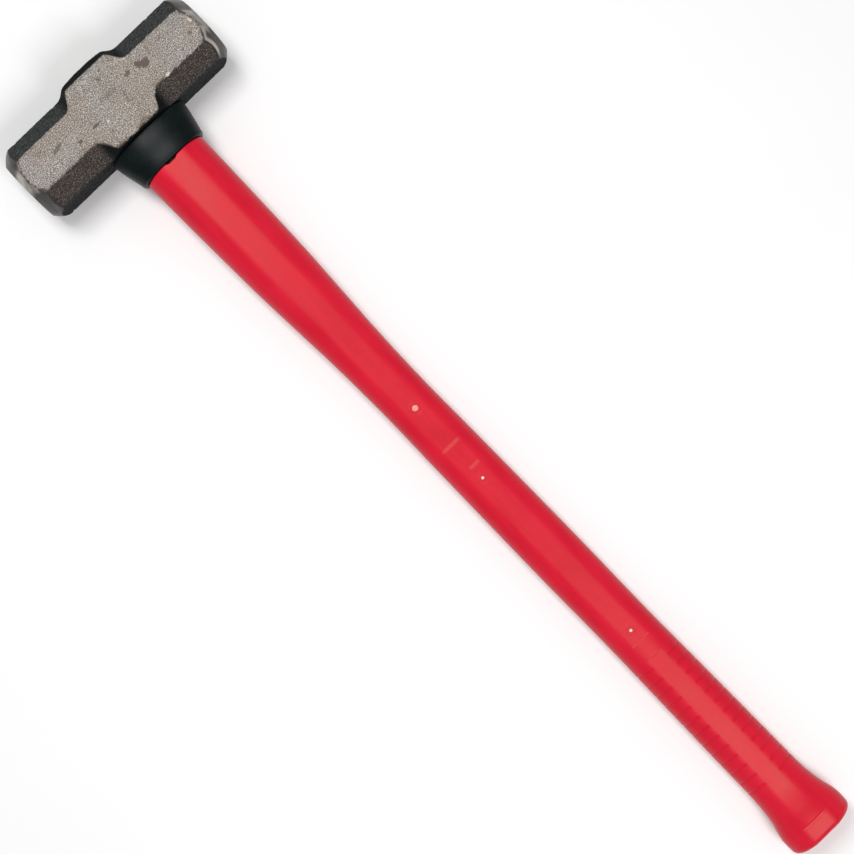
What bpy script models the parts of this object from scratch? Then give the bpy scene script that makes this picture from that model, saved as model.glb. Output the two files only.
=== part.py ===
"""A long-handled double-face sledgehammer, lying on its side.

The head is an octagonal steel forging with an oval eye. A fibreglass core runs through the eye, where
resin holds it, then through a rubber collar and down a moulded plastic jacket that ends in a knob.

Frame: +X along the head, +Y along the handle towards the head, +Z up. The origin is the middle of the
hammer's length, on the plane that the head lies on. Lengths are in metres.
"""

import math

import bmesh
import bpy
from mathutils import Matrix, Vector

# Whole hammer
OVERALL_LENGTH = 0.863
GAP = 0.0003  # kept between pieces that touch
HANDLE_OFFSET = 0.0036  # of the eye, and the handle in it, along +X from the head's middle

# Head: a bar of octagonal section along X, with a full square section round the eye
HEAD_LENGTH = 0.1974
HEAD_HEIGHT = 0.0652  # along the handle
HEAD_WIDTH = 0.066  # across the handle
CORNER_CHAMFER = 0.0155
BOSS_HALF_LENGTH = 0.0218
BOSS_EDGE_BREAK = 0.0011
CROWN_RISE = 0.0051  # of the eye boss's top over the octagon's top flat
CROWN_ARCH_RADIUS = 0.117
CROWN_CHAMFER = 0.0069
CROWN_SHOULDER_INNER = 0.0205
CROWN_SHOULDER_OUTER = 0.0310
SCALLOP_RADIUS = 0.008
SCALLOP_ANGLE = math.radians(59)

# Striking faces: turned on both ends of the head
FACE_RADIUS = 0.0270
FACE_FLAT_RADIUS = 0.015
FACE_CROWN_DROP = 0.0006
FACE_BEVEL_LENGTH = 0.0150
FACE_BEVEL_DEPTH = 0.0116
FACE_BEVEL_RADIUS = 0.045
ENVELOPE_RADIUS = 0.055  # clear of the eye boss, which isn't turned

# Eye: an oval hole, narrowest at the head's middle
EYE_HALF_LENGTH = 0.0187
EYE_HALF_WIDTH = 0.0162
EYE_WAIST_INSET = 0.0010
RESIN_TOP_DEPTH = 0.0022  # below the crown
RESIN_BOTTOM_DEPTH = 0.0010  # above the head's underside

# Core: a straight rod of oval section
CORE_HALF_LENGTH = 0.0160
CORE_HALF_WIDTH = 0.0135
CORE_TOP_DEPTH = 0.0014  # below the crown
CORE_END_COVER = 0.025  # of plastic below its lower end

# Collar: (distance below the head, width, thickness)
COLLAR_LENGTH = 0.0310
COLLAR_SECTIONS = (
    (0.0, 0.0775, 0.0480),
    (0.0100, 0.0748, 0.0472),
    (0.0190, 0.0706, 0.0460),
    (0.0270, 0.0668, 0.0455),
    (0.0295, 0.0655, 0.0450),
    (COLLAR_LENGTH, 0.0625, 0.0438),
)
COLLAR_SQUARENESS = 2.4

# Jacket: (distance below its top edge, width, thickness, width of the flat strip on front and back)
JACKET_SECTIONS = (
    (0.000, 0.0590, 0.0425, 0.0220),
    (0.061, 0.0571, 0.0410, 0.0210),
    (0.126, 0.0540, 0.0390, 0.0200),
    (0.175, 0.0493, 0.0366, 0.0190),
    (0.208, 0.0460, 0.0350, 0.0180),
    (0.265, 0.0432, 0.0336, 0.0175),
    (0.330, 0.0443, 0.0340, 0.0175),
    (0.453, 0.0455, 0.0344, 0.0172),
    (0.529, 0.0446, 0.0345, 0.0165),
    (0.599, 0.0462, 0.0352, 0.0155),
    (0.665, 0.0475, 0.0360, 0.0150),
    (0.709, 0.0485, 0.0370, 0.0150),
    (0.7288, 0.0530, 0.0398, 0.0170),
    (0.7398, 0.0590, 0.0430, 0.0230),
    (0.7478, 0.0613, 0.0446, 0.0240),
    (0.7611, 0.0605, 0.0444, 0.0240),
)
JACKET_SQUARENESS = 2.15
JACKET_LIP_RADIUS = 0.0012
KNOB_EDGE_RADIUS = 0.0052
QUARTER_POINTS = 8  # of the jacket's section, from a strip's edge round to the middle of a side

# Grip: grooves across the sides of the jacket
GROOVE_COUNT = 13
FIRST_GROOVE = 0.5659  # below the jacket's top edge
GROOVE_PITCH = 0.01085
GROOVE_WIDTH = 0.0022
GROOVE_DEPTH = 0.0006

# Pin holes: (distance below the jacket's top edge, radius)
PIN_HOLES = ((0.2805, 0.0027), (0.3590, 0.0014), (0.5312, 0.0014))

# Heights along the handle, measured from the head's centre
CROWN_TOP = HEAD_HEIGHT / 2 + CROWN_RISE
HEAD_BOTTOM = -HEAD_HEIGHT / 2
COLLAR_TOP = HEAD_BOTTOM - GAP
JACKET_TOP = COLLAR_TOP - COLLAR_LENGTH - GAP
KNOB_END = CROWN_TOP - OVERALL_LENGTH
JACKET_LENGTH = JACKET_TOP - KNOB_END
CORE_TOP = CROWN_TOP - CORE_TOP_DEPTH
CORE_END = KNOB_END + CORE_END_COVER


def clear_scene():
    for obj in list(bpy.data.objects):
        bpy.data.objects.remove(obj)


def new_collection(name, hide_render=False):
    collection = bpy.data.collections.new(name)
    collection.hide_render = hide_render
    bpy.context.scene.collection.children.link(collection)
    return collection


def principled(name, color, roughness, metallic=0.0):
    material = bpy.data.materials.new(name)
    material.use_nodes = True
    shader = material.node_tree.nodes["Principled BSDF"]
    shader.inputs["Base Color"].default_value = (*color, 1.0)
    shader.inputs["Roughness"].default_value = roughness
    shader.inputs["Metallic"].default_value = metallic
    return material


def object_from(bm, name, collection):
    """An object holding the bmesh, with its faces pointing out."""
    bmesh.ops.recalc_face_normals(bm, faces=bm.faces)
    mesh = bpy.data.meshes.new(name)
    bm.to_mesh(mesh)
    bm.free()
    obj = bpy.data.objects.new(name, mesh)
    collection.objects.link(obj)
    return obj


def loft(rings, name, collection):
    """A closed solid through rings of equally many points, with flat ends."""
    bm = bmesh.new()
    loops = [[bm.verts.new(point) for point in ring] for ring in rings]
    count = len(loops[0])
    for near, far in zip(loops, loops[1:]):
        for i in range(count):
            j = (i + 1) % count
            bm.faces.new((near[i], near[j], far[j], far[i]))
    bm.faces.new(loops[0])
    bm.faces.new(loops[-1])
    return object_from(bm, name, collection)


def oval_ring(y, half_x, half_z, squareness=2.0, count=40):
    """A ring across the handle at height y: an ellipse at squareness 2, squarer above that."""
    ring = []
    for i in range(count):
        angle = 2 * math.pi * i / count
        c, s = math.cos(angle), math.sin(angle)
        x = half_x * math.copysign(abs(c) ** (2 / squareness), c)
        z = half_z * math.copysign(abs(s) ** (2 / squareness), s)
        ring.append((x, y, z))
    return ring


def smooth_between(stations, distance):
    """The values at a distance down a list of (distance, value, ...), on a smooth curve through them."""
    last = len(stations) - 1
    k = 0
    while k < last - 1 and distance > stations[k + 1][0]:
        k += 1

    def slope(i, column):
        below, above = stations[max(i - 1, 0)], stations[min(i + 1, last)]
        return (above[column] - below[column]) / (above[0] - below[0])

    a, b = stations[k], stations[k + 1]
    span = b[0] - a[0]
    t = (distance - a[0]) / span
    values = []
    for column in range(1, len(a)):
        values.append(
            (2 * t**3 - 3 * t**2 + 1) * a[column]
            + (t**3 - 2 * t**2 + t) * span * slope(k, column)
            + (3 * t**2 - 2 * t**3) * b[column]
            + (t**3 - t**2) * span * slope(k + 1, column)
        )
    return values


def smoothstep(low, high, value):
    t = min(max((value - low) / (high - low), 0.0), 1.0)
    return t * t * (3 - 2 * t)


def cut(obj, cutter, operation="DIFFERENCE"):
    modifier = obj.modifiers.new(cutter.name, "BOOLEAN")
    modifier.operation = operation
    modifier.solver = "EXACT"
    modifier.object = cutter


def as_cutter(obj):
    obj.hide_render = True
    obj.display_type = "WIRE"
    return obj


# ---------------------------------------------------------------- head


def scallop_rise(x, rise):
    """How far the scallop at the end of a corner chamfer has risen at x, up to the given rise."""
    arc_run = SCALLOP_RADIUS * math.sin(SCALLOP_ANGLE)
    arc_rise = SCALLOP_RADIUS * (1 - math.cos(SCALLOP_ANGLE))
    run = arc_run + (rise - arc_rise) / math.tan(SCALLOP_ANGLE)
    inward = min(max(BOSS_HALF_LENGTH + run - abs(x), 0.0), run)
    if inward < arc_run:
        return SCALLOP_RADIUS - math.sqrt(SCALLOP_RADIUS**2 - inward**2)
    return arc_rise + (inward - arc_run) * math.tan(SCALLOP_ANGLE)


def crown_height(x):
    """The top of the head at x: a shallow arch over the eye that falls to the octagon's flat."""
    flat = HEAD_HEIGHT / 2
    arch = CROWN_TOP - CROWN_ARCH_RADIUS + math.sqrt(CROWN_ARCH_RADIUS**2 - x**2)
    fall = smoothstep(CROWN_SHOULDER_INNER, CROWN_SHOULDER_OUTER, abs(x))
    return arch * (1 - fall) + flat * fall


def head_ring(x):
    """The head's eight-cornered section at x."""
    half_width = HEAD_WIDTH / 2
    top = crown_height(x)
    facet_edge = HEAD_HEIGHT / 2 - CORNER_CHAMFER
    crown_edge = CROWN_TOP - CROWN_CHAMFER
    top_edge = min(facet_edge + scallop_rise(x, crown_edge - facet_edge), top - BOSS_EDGE_BREAK)
    top_chamfer = top - top_edge
    bottom_chamfer = CORNER_CHAMFER - scallop_rise(x, CORNER_CHAMFER - BOSS_EDGE_BREAK)
    side = [
        (top, half_width - top_chamfer),
        (top_edge, half_width),
        (HEAD_BOTTOM + bottom_chamfer, half_width),
        (HEAD_BOTTOM, half_width - bottom_chamfer),
    ]
    ring = [(x, y, z) for y, z in side]
    return ring + [(x, y, -z) for y, z in reversed(side)]


def head_stations():
    """Places along +X where the head's section changes, from the middle out."""
    arc_steps = 6
    scallop_end = BOSS_HALF_LENGTH + 0.0145
    middle = [BOSS_HALF_LENGTH * i / 4 for i in range(5)]
    scallop = [
        BOSS_HALF_LENGTH + (scallop_end - BOSS_HALF_LENGTH) * i / (2 * arc_steps)
        for i in range(1, 2 * arc_steps + 1)
    ]
    return middle + scallop + [HEAD_LENGTH / 2 + 0.002]


def turned_envelope(collection):
    """The head's turned outline: flat centres, slightly crowned faces and a round bevel at each end."""
    half = HEAD_LENGTH / 2
    crown_steps, bevel_steps = 3, 6
    upper = [(0.0, half), (FACE_FLAT_RADIUS, half)]
    for i in range(1, crown_steps + 1):
        t = i / crown_steps
        radius = FACE_FLAT_RADIUS + (FACE_RADIUS - FACE_FLAT_RADIUS) * t
        upper.append((radius, half - FACE_CROWN_DROP * t * t))
    start = math.atan2(FACE_BEVEL_LENGTH, FACE_BEVEL_DEPTH)
    half_sweep = math.asin(math.hypot(FACE_BEVEL_LENGTH, FACE_BEVEL_DEPTH) / 2 / FACE_BEVEL_RADIUS)
    radius, height = upper[-1]
    step = 2 * half_sweep / bevel_steps
    chord = 2 * FACE_BEVEL_RADIUS * math.sin(step / 2)
    for i in range(bevel_steps):
        heading = start - half_sweep + (i + 0.5) * step
        radius += chord * math.cos(heading)
        height -= chord * math.sin(heading)
        upper.append((radius, height))
    upper.append((ENVELOPE_RADIUS, height))
    profile = upper + [(r, -h) for r, h in reversed(upper)]
    bm = bmesh.new()
    points = [bm.verts.new((r, 0.0, h)) for r, h in profile]
    for a, b in zip(points, points[1:]):
        bm.edges.new((a, b))
    mesh = bpy.data.meshes.new("turned_envelope")
    bm.to_mesh(mesh)
    bm.free()
    obj = bpy.data.objects.new("turned_envelope", mesh)
    collection.objects.link(obj)
    obj.rotation_euler.y = math.pi / 2
    screw = obj.modifiers.new("turn", "SCREW")
    screw.steps = screw.render_steps = 56
    screw.use_merge_vertices = True
    screw.merge_threshold = 0.00001
    return as_cutter(obj)


def eye_rings(inset, low, high):
    """Rings of the eye's hourglass between two heights, drawn in by an inset all round."""
    rings = []
    steps = 6
    for i in range(steps + 1):
        y = low + (high - low) * i / steps
        waist = EYE_WAIST_INSET * (1 - min(abs(y) / (HEAD_HEIGHT / 2), 1.0) ** 2)
        rings.append(oval_ring(y, EYE_HALF_LENGTH - waist - inset, EYE_HALF_WIDTH - waist - inset))
    return rings


def make_head(parts, cutters):
    outward = head_stations()
    stations = [-x for x in reversed(outward[1:])] + outward
    head = loft([head_ring(x) for x in stations], "head", parts)
    cut(head, turned_envelope(cutters), "INTERSECT")
    clearance = 0.01
    eye = loft(eye_rings(0.0, HEAD_BOTTOM - clearance, CROWN_TOP + clearance), "eye_cutter", cutters)
    eye.location.x = HANDLE_OFFSET
    cut(head, as_cutter(eye))
    head.data.materials.append(principled("forged_steel", (0.30, 0.27, 0.25), 0.55, 0.75))
    return head


# ---------------------------------------------------------------- core, resin and collar


def oval_rod(name, collection, low, high, inset=0.0):
    """A straight rod of the core's section between two heights. A negative inset makes it larger."""
    bm = bmesh.new()
    bmesh.ops.create_cone(bm, cap_ends=True, segments=40, radius1=1, radius2=1, depth=1)
    along_handle = Matrix.Rotation(-math.pi / 2, 4, "X")
    size = Matrix.Diagonal((CORE_HALF_LENGTH - inset, CORE_HALF_WIDTH - inset, high - low, 1))
    middle = Matrix.Translation(Vector((0, (low + high) / 2, 0)))
    bmesh.ops.transform(bm, matrix=middle @ along_handle @ size, verts=bm.verts)
    return object_from(bm, name, collection)


def make_core(parts):
    core = oval_rod("handle_core", parts, CORE_END, CORE_TOP)
    core.data.materials.append(principled("fibreglass", (0.70, 0.58, 0.36), 0.45))
    return core


def make_resin(parts, core_hole):
    low, high = HEAD_BOTTOM + RESIN_BOTTOM_DEPTH, CROWN_TOP - RESIN_TOP_DEPTH
    resin = loft(eye_rings(GAP, low, high), "eye_resin", parts)
    cut(resin, core_hole)
    resin.data.materials.append(principled("epoxy", (0.10, 0.09, 0.07), 0.25))
    return resin


def make_collar(parts, core_hole):
    steps = 8
    rings = []
    for i in range(steps + 1):
        distance = COLLAR_LENGTH * i / steps
        width, thickness = smooth_between(COLLAR_SECTIONS, distance)
        rings.append(oval_ring(COLLAR_TOP - distance, width / 2, thickness / 2, COLLAR_SQUARENESS))
    collar = loft(rings, "collar", parts)
    cut(collar, core_hole)
    collar.data.materials.append(principled("black_rubber", (0.012, 0.014, 0.015), 0.45))
    return collar


# ---------------------------------------------------------------- jacket


def edge_inset(distance):
    """How far the jacket's rounded top lip and the knob's rounded end draw its section in."""
    inset = 0.0
    ends = ((distance, JACKET_LIP_RADIUS), (JACKET_LENGTH - distance, KNOB_EDGE_RADIUS))
    for from_end, radius in ends:
        if from_end < radius:
            inset += radius - math.sqrt(radius**2 - (radius - max(from_end, 0.0)) ** 2)
    return inset


def groove_depth(distance):
    """The depth of the grip's V grooves at a distance below the jacket's top edge."""
    nearest = round((distance - FIRST_GROOVE) / GROOVE_PITCH)
    if not 0 <= nearest < GROOVE_COUNT:
        return 0.0
    off_centre = abs(distance - FIRST_GROOVE - nearest * GROOVE_PITCH)
    return GROOVE_DEPTH * max(0.0, 1 - off_centre / (GROOVE_WIDTH / 2))


def jacket_ring(distance):
    """The jacket's section: an oval, cut flat by a strip on its front and back."""
    width, thickness, strip = smooth_between(JACKET_SECTIONS, distance)
    inset = edge_inset(distance)
    half_width, half_thickness = width / 2 - inset, thickness / 2 - inset
    half_strip = min(strip / 2, half_width * 0.6)
    share = (half_strip / half_width) ** JACKET_SQUARENESS
    crest = half_thickness / (1 - share) ** (1 / JACKET_SQUARENESS)
    strip_angle = math.acos((half_strip / half_width) ** (JACKET_SQUARENESS / 2))
    groove = groove_depth(distance)
    y = JACKET_TOP - distance
    quarter = []
    for i in range(QUARTER_POINTS):
        angle = strip_angle * (1 - i / (QUARTER_POINTS - 1))
        depth = groove if i > 0 else 0.0
        x = (half_width - depth) * math.cos(angle) ** (2 / JACKET_SQUARENESS)
        z = (crest - depth) * math.sin(angle) ** (2 / JACKET_SQUARENESS)
        quarter.append((x, z))
    side = quarter + [(x, -z) for x, z in reversed(quarter[:-1])]
    ring = [(x, y, z) for x, z in side]
    return ring + [(-x, y, z) for x, z in reversed(side)]


def jacket_stations():
    """Distances below the jacket's top edge where it gets a ring."""
    coarse, fine, end_steps = 0.022, 0.004, 6
    knob_start = JACKET_SECTIONS[-5][0]
    stations = {i * coarse for i in range(1, int(knob_start / coarse) + 1)}
    grip = (FIRST_GROOVE - GROOVE_PITCH / 2, FIRST_GROOVE + (GROOVE_COUNT - 0.5) * GROOVE_PITCH)
    stations = {d for d in stations if not grip[0] < d < grip[1]}
    for i in range(GROOVE_COUNT):
        middle = FIRST_GROOVE + i * GROOVE_PITCH
        stations |= {middle - GROOVE_WIDTH / 2, middle, middle + GROOVE_WIDTH / 2}
    distance = knob_start + fine
    while distance < JACKET_LENGTH - KNOB_EDGE_RADIUS:
        stations.add(distance)
        distance += fine
    for i in range(end_steps + 1):
        angle = math.pi / 2 * i / end_steps
        stations.add(JACKET_LENGTH - KNOB_EDGE_RADIUS * (1 - math.sin(angle)))
    for i in range(4):
        stations.add(JACKET_LIP_RADIUS * (1 - math.cos(math.pi / 2 * i / 3)))
    return sorted(stations)


def pin_cutter(distance, radius, collection):
    """A cylinder across the jacket that opens a moulding-pin hole on its front and its back."""
    bm = bmesh.new()
    bmesh.ops.create_cone(bm, cap_ends=True, segments=20, radius1=radius, radius2=radius, depth=0.08)
    obj = object_from(bm, "pin_cutter", collection)
    obj.location.y = JACKET_TOP - distance
    return as_cutter(obj)


def make_jacket(parts, cutters, core_hole):
    jacket = loft([jacket_ring(d) for d in jacket_stations()], "handle_jacket", parts)
    cut(jacket, core_hole)
    pins = []
    for distance, radius in PIN_HOLES:
        pin = pin_cutter(distance, radius, cutters)
        cut(jacket, pin)
        pins.append(pin)
    jacket.data.materials.append(principled("red_plastic", (0.68, 0.02, 0.035), 0.38))
    return jacket, pins


# ---------------------------------------------------------------- assembly


def main():
    clear_scene()
    parts = new_collection("sledgehammer")
    cutters = new_collection("cutters", hide_render=True)
    clearance = 0.01
    core_hole = as_cutter(oval_rod("core_hole", cutters, CORE_END - GAP, CORE_TOP + clearance, -GAP))
    jacket, pins = make_jacket(parts, cutters, core_hole)
    head = make_head(parts, cutters)
    core = make_core(parts)
    resin = make_resin(parts, core_hole)
    collar = make_collar(parts, core_hole)
    pieces = [head, core, resin, collar, jacket]
    hammer = bpy.data.objects.new("hammer", None)
    parts.objects.link(hammer)
    hammer.location = (0.0, OVERALL_LENGTH / 2 - CROWN_TOP, HEAD_WIDTH / 2)
    for obj in pieces + list(cutters.objects):
        obj.parent = hammer
    for obj in (core, resin, collar, jacket, core_hole, *pins):
        obj.location.x = HANDLE_OFFSET
    for obj in pieces:
        obj.data.shade_smooth()
        obj.data.set_sharp_from_angle(angle=math.radians(30))


main()
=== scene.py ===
"""The sledgehammer's looks: fine surfaces, materials, studio and camera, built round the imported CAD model.

Frame: +X along the head, +Y along the handle towards the head, +Z up. Lengths are in metres. The CAD model
gives each piece's place and size, and the shapes below repeat its sections at a finer step.
"""

import math

import bmesh
import bpy
import numpy as np
from mathutils import Matrix, Vector, noise


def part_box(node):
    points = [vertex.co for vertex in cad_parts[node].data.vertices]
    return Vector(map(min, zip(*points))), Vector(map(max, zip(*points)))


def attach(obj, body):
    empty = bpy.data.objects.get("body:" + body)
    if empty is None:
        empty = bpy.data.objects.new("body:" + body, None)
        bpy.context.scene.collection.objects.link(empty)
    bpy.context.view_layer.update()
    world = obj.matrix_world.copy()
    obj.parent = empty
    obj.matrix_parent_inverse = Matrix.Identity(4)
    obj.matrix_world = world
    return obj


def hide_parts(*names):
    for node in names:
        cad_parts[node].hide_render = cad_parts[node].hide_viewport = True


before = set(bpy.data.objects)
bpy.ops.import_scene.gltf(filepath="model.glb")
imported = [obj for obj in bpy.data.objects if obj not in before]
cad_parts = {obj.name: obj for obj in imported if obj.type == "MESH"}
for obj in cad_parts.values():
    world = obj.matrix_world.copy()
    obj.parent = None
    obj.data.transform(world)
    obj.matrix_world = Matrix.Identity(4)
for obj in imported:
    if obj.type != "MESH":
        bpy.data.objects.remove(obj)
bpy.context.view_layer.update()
HEAD_LOW, HEAD_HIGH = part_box("head")
CORE_LOW, CORE_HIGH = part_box("handle_core")
COLLAR_LOW, COLLAR_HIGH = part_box("collar")
JACKET_LOW, JACKET_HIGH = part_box("handle_jacket")
RESIN_LOW, RESIN_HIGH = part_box("eye_resin")

GAP = 0.0003  # kept between pieces that touch
SHARP_ANGLE = math.radians(40)  # between faces whose edge stays crisp in shading
AXIS_X = (COLLAR_LOW.x + COLLAR_HIGH.x) / 2  # of the handle and the eye
AXIS_Z = (HEAD_LOW.z + HEAD_HIGH.z) / 2

# Head
CROWN_RISE = 0.0051  # of the eye boss's top over the octagon's top flat
HEAD_LENGTH = HEAD_HIGH.x - HEAD_LOW.x
HEAD_HEIGHT = HEAD_HIGH.y - HEAD_LOW.y - CROWN_RISE
HEAD_WIDTH = HEAD_HIGH.z - HEAD_LOW.z
HEAD_Y = HEAD_LOW.y + HEAD_HEIGHT / 2
CORNER_CHAMFER = 0.0155
BOSS_HALF_LENGTH = 0.0218
BOSS_EDGE_BREAK = 0.0007
CROWN_ARCH_RADIUS = 0.117
CROWN_CHAMFER = 0.0069
CROWN_SHOULDER_INNER = 0.0205
CROWN_SHOULDER_OUTER = 0.0310
SCALLOP_RADIUS = 0.008
SCALLOP_ANGLE = math.radians(59)
SCALLOP_ROUNDING = 0.0016  # of the scallops and the crown along X, to each side
EDGE_SHARPNESS = 170  # of the forged edges: the higher, the smaller their rounding
GROUND_SHARPNESS = 420  # of the edges of the ground bevels
MASK_SHARPNESS = 70  # of the change of finish from facet to facet
MARK_SQUARENESS = 2.6  # of the outlines of marks and chips: 2 is an ellipse

# Striking faces, ground round
FACE_RADIUS = 0.0270
FACE_FLAT_RADIUS = 0.015
FACE_CROWN_DROP = 0.0006
FACE_BEVEL_LENGTH = 0.0150
FACE_BEVEL_DEPTH = 0.0116
FACE_BEVEL_RADIUS = 0.045
FACE_BEVEL_OVAL = 0.0009  # its extra radius on the front and back
PAST_HEAD = 1.0  # radius of the ground outline where nothing is ground: outside the head all round
BRIGHT_SLIVER_ANGLES = (-64, -50, -28, -8)  # in degrees up from the front: none, full, full, none

# Eye and core
EYE_HALF_LENGTH = 0.0187
EYE_HALF_WIDTH = 0.0162
EYE_WAIST_INSET = 0.0010
EYE_RIM_FLARE = 0.0009
EYE_RIM_DEPTH = 0.0022  # of the flare, from the rim inwards
CORE_HALF_LENGTH = (CORE_HIGH.x - CORE_LOW.x) / 2
CORE_HALF_WIDTH = (CORE_HIGH.z - CORE_LOW.z) / 2

# Collar: (distance below its top, width, thickness)
COLLAR_LENGTH = COLLAR_HIGH.y - COLLAR_LOW.y
COLLAR_SECTIONS = (
    (0.0, 0.0775, 0.0480),
    (0.0100, 0.0748, 0.0472),
    (0.0190, 0.0706, 0.0460),
    (0.0270, 0.0668, 0.0455),
    (0.0295, 0.0655, 0.0450),
    (COLLAR_LENGTH, 0.0625, 0.0438),
)
COLLAR_SQUARENESS = 2.4
COLLAR_EDGE_RADIUS = 0.0007

# Jacket: (distance below its top edge, width, thickness, width of the flat strip on front and back)
JACKET_LENGTH = JACKET_HIGH.y - JACKET_LOW.y
JACKET_SECTIONS = (
    (0.000, 0.0590, 0.0425, 0.0220),
    (0.061, 0.0571, 0.0410, 0.0210),
    (0.126, 0.0540, 0.0390, 0.0200),
    (0.175, 0.0493, 0.0366, 0.0190),
    (0.208, 0.0460, 0.0350, 0.0180),
    (0.265, 0.0432, 0.0336, 0.0175),
    (0.330, 0.0443, 0.0340, 0.0175),
    (0.453, 0.0455, 0.0344, 0.0172),
    (0.529, 0.0446, 0.0345, 0.0170),
    (0.599, 0.0462, 0.0352, 0.0165),
    (0.665, 0.0475, 0.0360, 0.0162),
    (0.709, 0.0485, 0.0370, 0.0160),
    (0.7288, 0.0530, 0.0398, 0.0170),
    (0.7398, 0.0590, 0.0430, 0.0230),
    (0.7478, 0.0613, 0.0446, 0.0240),
    (0.7611, 0.0605, 0.0444, 0.0240),
)
JACKET_SQUARENESS = 2.15
JACKET_LIP_RADIUS = 0.0012
KNOB_EDGE_RADIUS = 0.0052
LIP_NOTCH_X = -0.0018  # from the handle's axis
LIP_NOTCH_HALF_WIDTH = 0.0072
LIP_NOTCH_DEPTH = 0.0016
LIP_NOTCH_REACH = 0.004  # how far down the jacket it has faded out
JACKET_RIPPLE = 0.00005  # of its surface, in or out

# Grip
GROOVE_COUNT = 13
FIRST_GROOVE = 0.5659  # below the jacket's top edge
GROOVE_PITCH = 0.01085
GROOVE_WIDTH = 0.0030
GROOVE_DEPTH = 0.0009
GROOVE_RUN_OUT = (-0.0002, 0.0022)  # past the strip's edge: no groove, full depth
# Flat strip: where it swells into a low dome above the grip, and into a plain oval at the flare
STRIP_SOFTNESS = 45  # of its edges: the higher, the crisper
STRIP_BREAK = (0.5424, 0.5591)
STRIP_BREAK_RISE = 0.00045
STRIP_BREAK_STEP = 0.0006
STRIP_FLARE = (0.710, 0.732)
STRIP_PANEL = (0.7420, 0.7440)

# Witness lines left by the mould: (distance below the jacket's top edge, from x, to x)
WITNESS_LINES = (
    (0.3223, -0.0100, 0.0095),
    (0.3464, -0.0024, 0.0078),
    (0.5424, -0.0085, 0.0085),
    (0.7440, -0.0125, 0.0100),
)
WITNESS_HALF_WIDTH = 0.0004
WITNESS_HEIGHT = 0.00022

# Pin holes: (distance below the jacket's top edge, radius, radius of the raised ring round it)
PIN_HOLES = ((0.2805, 0.0027, 0.0046), (0.3590, 0.0014, 0.0040), (0.5312, 0.0014, 0.0040))
PIN_RING_THICKNESS = 0.00042
PIN_RING_SINK = 0.00002  # of its middle below the strip
PIN_STUD_DEPTH = 0.00030  # of the core's stud below the strip that surrounds it
PIN_STUD_GAP = 0.00015  # round the stud
PIN_DRILL_LENGTH = 0.08  # right through the jacket

# Camera
CAMERA_PLACE = Vector((-0.0380, 0.0459, 1.4729))
CAMERA_TARGET = Vector((0.0003, 0.0313, 0.0330))
CAMERA_UP_ANGLE = math.radians(45.833)  # of the picture's upward direction, from +X towards +Y
CAMERA_LENS = 74.28
CAMERA_SENSOR = 36.0

# Studio
WORLD_STRENGTH = 0.38
SOFTBOX_SIZE = (0.5, 0.8)


# ---------------------------------------------------------------- shapes


def smoothstep(low, high, value):
    t = np.clip((value - low) / (high - low), 0.0, 1.0)
    return t * t * (3 - 2 * t)


def smooth_between(stations, distance):
    """The values at a distance down a list of (distance, value, ...), on a smooth curve through them."""
    last = len(stations) - 1
    k = 0
    while k < last - 1 and distance > stations[k + 1][0]:
        k += 1

    def slope(i, column):
        below, above = stations[max(i - 1, 0)], stations[min(i + 1, last)]
        return (above[column] - below[column]) / (above[0] - below[0])

    a, b = stations[k], stations[k + 1]
    span = b[0] - a[0]
    t = (distance - a[0]) / span
    values = []
    for column in range(1, len(a)):
        values.append(
            (2 * t**3 - 3 * t**2 + 1) * a[column]
            + (t**3 - 2 * t**2 + t) * span * slope(k, column)
            + (3 * t**2 - 2 * t**3) * b[column]
            + (t**3 - t**2) * span * slope(k + 1, column)
        )
    return values


def superellipse(angle, half_x, half_z, squareness=2.0):
    """(x, z) round an ellipse, or round a squarer outline where squareness is over 2."""
    c, s = np.cos(angle), np.sin(angle)
    x = half_x * np.copysign(np.abs(c) ** (2 / squareness), c)
    z = half_z * np.copysign(np.abs(s) ** (2 / squareness), s)
    return x, z


def fractal(points, feature, octaves, seed):
    """Smooth noise from about -1 to 1 at each point, with features of the given size."""
    shift = Vector((seed * 7.31, seed * 3.77, seed * 5.13))
    scaled = (points / feature).tolist()
    return np.array([noise.fractal(Vector(p) + shift, 1.0, 2.0, octaves) for p in scaled])


def object_from(name, points, faces):
    """A closed solid, with its faces turned outwards."""
    mesh = bpy.data.meshes.new(name)
    mesh.from_pydata(points.tolist(), [], faces)
    mesh.validate()
    solid = bmesh.new()
    solid.from_mesh(mesh)
    if solid.calc_volume(signed=True) < 0:
        mesh.flip_normals()
    solid.free()
    obj = bpy.data.objects.new(name, mesh)
    bpy.context.scene.collection.objects.link(obj)
    return obj


def grid_faces(rows, columns, wrap_rows=False):
    """Quads of a grid whose columns close on themselves, and whose rows do too if wrap_rows is set."""
    faces = []
    for i in range(rows if wrap_rows else rows - 1):
        near, far = i * columns, (i + 1) % rows * columns
        for j in range(columns):
            k = (j + 1) % columns
            faces.append((near + j, near + k, far + k, far + j))
    return faces


def lofted(name, rings):
    """A closed solid through rings of equally many points, each end closed by a fan on its middle."""
    rows, columns = rings.shape[:2]
    points = rings.reshape(-1, 3)
    first, last = len(points), len(points) + 1
    points = np.vstack([points, rings[0].mean(axis=0), rings[-1].mean(axis=0)])
    faces = grid_faces(rows, columns)
    far = (rows - 1) * columns
    for j in range(columns):
        k = (j + 1) % columns
        faces.append((first, k, j))
        faces.append((last, far + j, far + k))
    return object_from(name, points, faces)


def sleeve(name, loops):
    """A closed tube from loops round its wall, one loop for each step round the axis."""
    rows, columns = loops.shape[:2]
    return object_from(name, loops.reshape(-1, 3), grid_faces(rows, columns, wrap_rows=True))


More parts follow.
